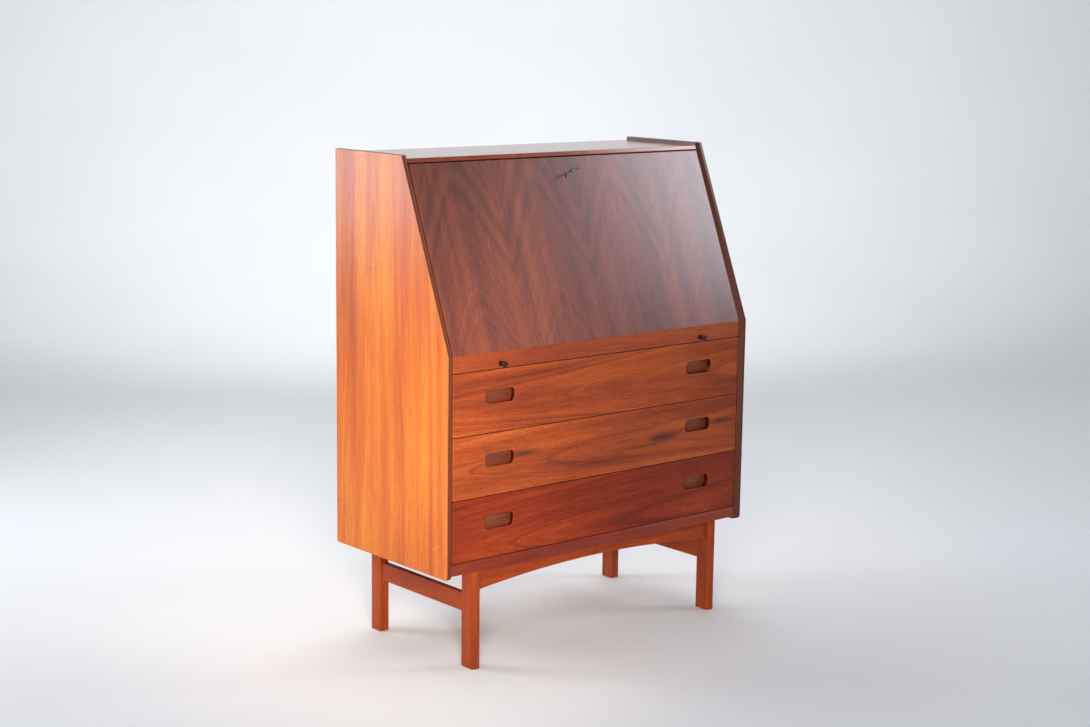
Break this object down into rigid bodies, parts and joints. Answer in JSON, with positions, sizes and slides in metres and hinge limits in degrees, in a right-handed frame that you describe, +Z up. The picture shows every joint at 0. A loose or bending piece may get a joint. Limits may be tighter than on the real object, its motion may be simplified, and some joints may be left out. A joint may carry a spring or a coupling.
{
  "type": "secretary desk",
  "caption": "Secretary desk: wooden case on a low leg frame, sloping drop flap with lock and key, pull-out flap support, pigeonholes and drawers with recessed pulls",
  "frame": {"origin": "on the floor, under the centre of the whole box, the knobs on the front included", "axes": "+Z up, +Y towards the back, so the front faces -Y; +X to the right of someone facing the front"},
  "size_m": [0.9, 0.432, 1.125],
  "materials": {
    "teak_side": "orange teak veneer, semi-gloss lacquer",
    "teak_front": "red-brown teak veneer, grain across, semi-gloss lacquer",
    "teak_flap": "darker teak veneer, upright crown grain, semi-gloss lacquer",
    "teak_frame": "solid teak, satin lacquer",
    "dark_teak": "dark solid teak, satin",
    "inner_wood": "light hardwood, thin matt lacquer",
    "plywood": "plywood, matt",
    "steel": "worn bright steel"
  },
  "bodies": {
    "case": {"side_panel_left": "teak_side", "side_panel_right": "teak_side", "top_board": "teak_front", "bottom_board": "teak_front", "desk_floor": "teak_front", "dust_panel": "plywood", "back_panel": "plywood", "front_leg_left": "teak_frame", "front_leg_right": "teak_frame", "rear_leg_left": "teak_frame", "rear_leg_right": "teak_frame", "front_apron": "teak_frame", "back_apron": "teak_frame", "stretcher_left": "teak_frame", "stretcher_right": "teak_frame", "pigeonhole_shelf": "inner_wood", "divider_left": "inner_wood", "divider_right": "inner_wood", "drawer_1_runner_left": "inner_wood", "drawer_1_runner_right": "inner_wood", "drawer_2_runner_left": "inner_wood", "drawer_2_runner_right": "inner_wood", "drawer_3_runner_left": "inner_wood", "drawer_3_runner_right": "inner_wood"},
    "flap": {"flap_panel": "teak_flap", "pivot_pin_left": "steel", "pivot_pin_right": "steel", "lock_case": "steel"},
    "key": {"key": "steel"},
    "lock_bolt": {"lock_bolt": "steel"},
    "support": {"support_rail": "teak_front", "support_arm_left": "inner_wood", "support_arm_right": "inner_wood", "knob_left": "dark_teak", "knob_right": "dark_teak"},
    "drawer_1": {"drawer_1_front": "teak_front", "drawer_1_side_left": "inner_wood", "drawer_1_side_right": "inner_wood", "drawer_1_back": "inner_wood", "drawer_1_bottom": "plywood", "drawer_1_pull_left": "dark_teak", "drawer_1_pull_right": "dark_teak"},
    "drawer_2": {"drawer_2_front": "teak_front", "drawer_2_side_left": "inner_wood", "drawer_2_side_right": "inner_wood", "drawer_2_back": "inner_wood", "drawer_2_bottom": "plywood", "drawer_2_pull_left": "dark_teak", "drawer_2_pull_right": "dark_teak"},
    "drawer_3": {"drawer_3_front": "teak_front", "drawer_3_side_left": "inner_wood", "drawer_3_side_right": "inner_wood", "drawer_3_back": "inner_wood", "drawer_3_bottom": "plywood", "drawer_3_pull_left": "dark_teak", "drawer_3_pull_right": "dark_teak"},
    "small_drawer_left": {"small_drawer_left_front": "teak_front", "small_drawer_left_tray": "inner_wood"},
    "small_drawer_right": {"small_drawer_right_front": "teak_front", "small_drawer_right_tray": "inner_wood"}
  },
  "joints": [
    {"name": "flap_hinge", "type": "hinge", "parent": "case", "child": "flap", "pos_m": [0, -0.18633, 0.7153], "axis": [1, 0, 0], "range_deg": [0, 112.11]},
    {"name": "key_turn", "type": "hinge", "parent": "flap", "child": "key", "pos_m": [0, -0.0519, 1.06747], "axis": [0, -0.9265, 0.3764], "range_deg": [0, 90]},
    {"name": "bolt_slide", "type": "slide", "parent": "flap", "child": "lock_bolt", "axis": [0, 0.3764, 0.9265], "range_m": [0, 0.007]},
    {"name": "support_slide", "type": "slide", "parent": "case", "child": "support", "axis": [0, -1, 0], "range_m": [0, 0.28]},
    {"name": "drawer_1_slide", "type": "slide", "parent": "case", "child": "drawer_1", "axis": [0, -1, 0], "range_m": [0, 0.28]},
    {"name": "drawer_2_slide", "type": "slide", "parent": "case", "child": "drawer_2", "axis": [0, -1, 0], "range_m": [0, 0.28]},
    {"name": "drawer_3_slide", "type": "slide", "parent": "case", "child": "drawer_3", "axis": [0, -1, 0], "range_m": [0, 0.28]},
    {"name": "small_drawer_left_slide", "type": "slide", "parent": "case", "child": "small_drawer_left", "axis": [0, -1, 0], "range_m": [0, 0.11]},
    {"name": "small_drawer_right_slide", "type": "slide", "parent": "case", "child": "small_drawer_right", "axis": [0, -1, 0], "range_m": [0, 0.11]}
  ],
  "couplings": [
    {"joint": "bolt_slide", "follows": "key_turn", "m_per_rad": 0.0044559}
  ]
}
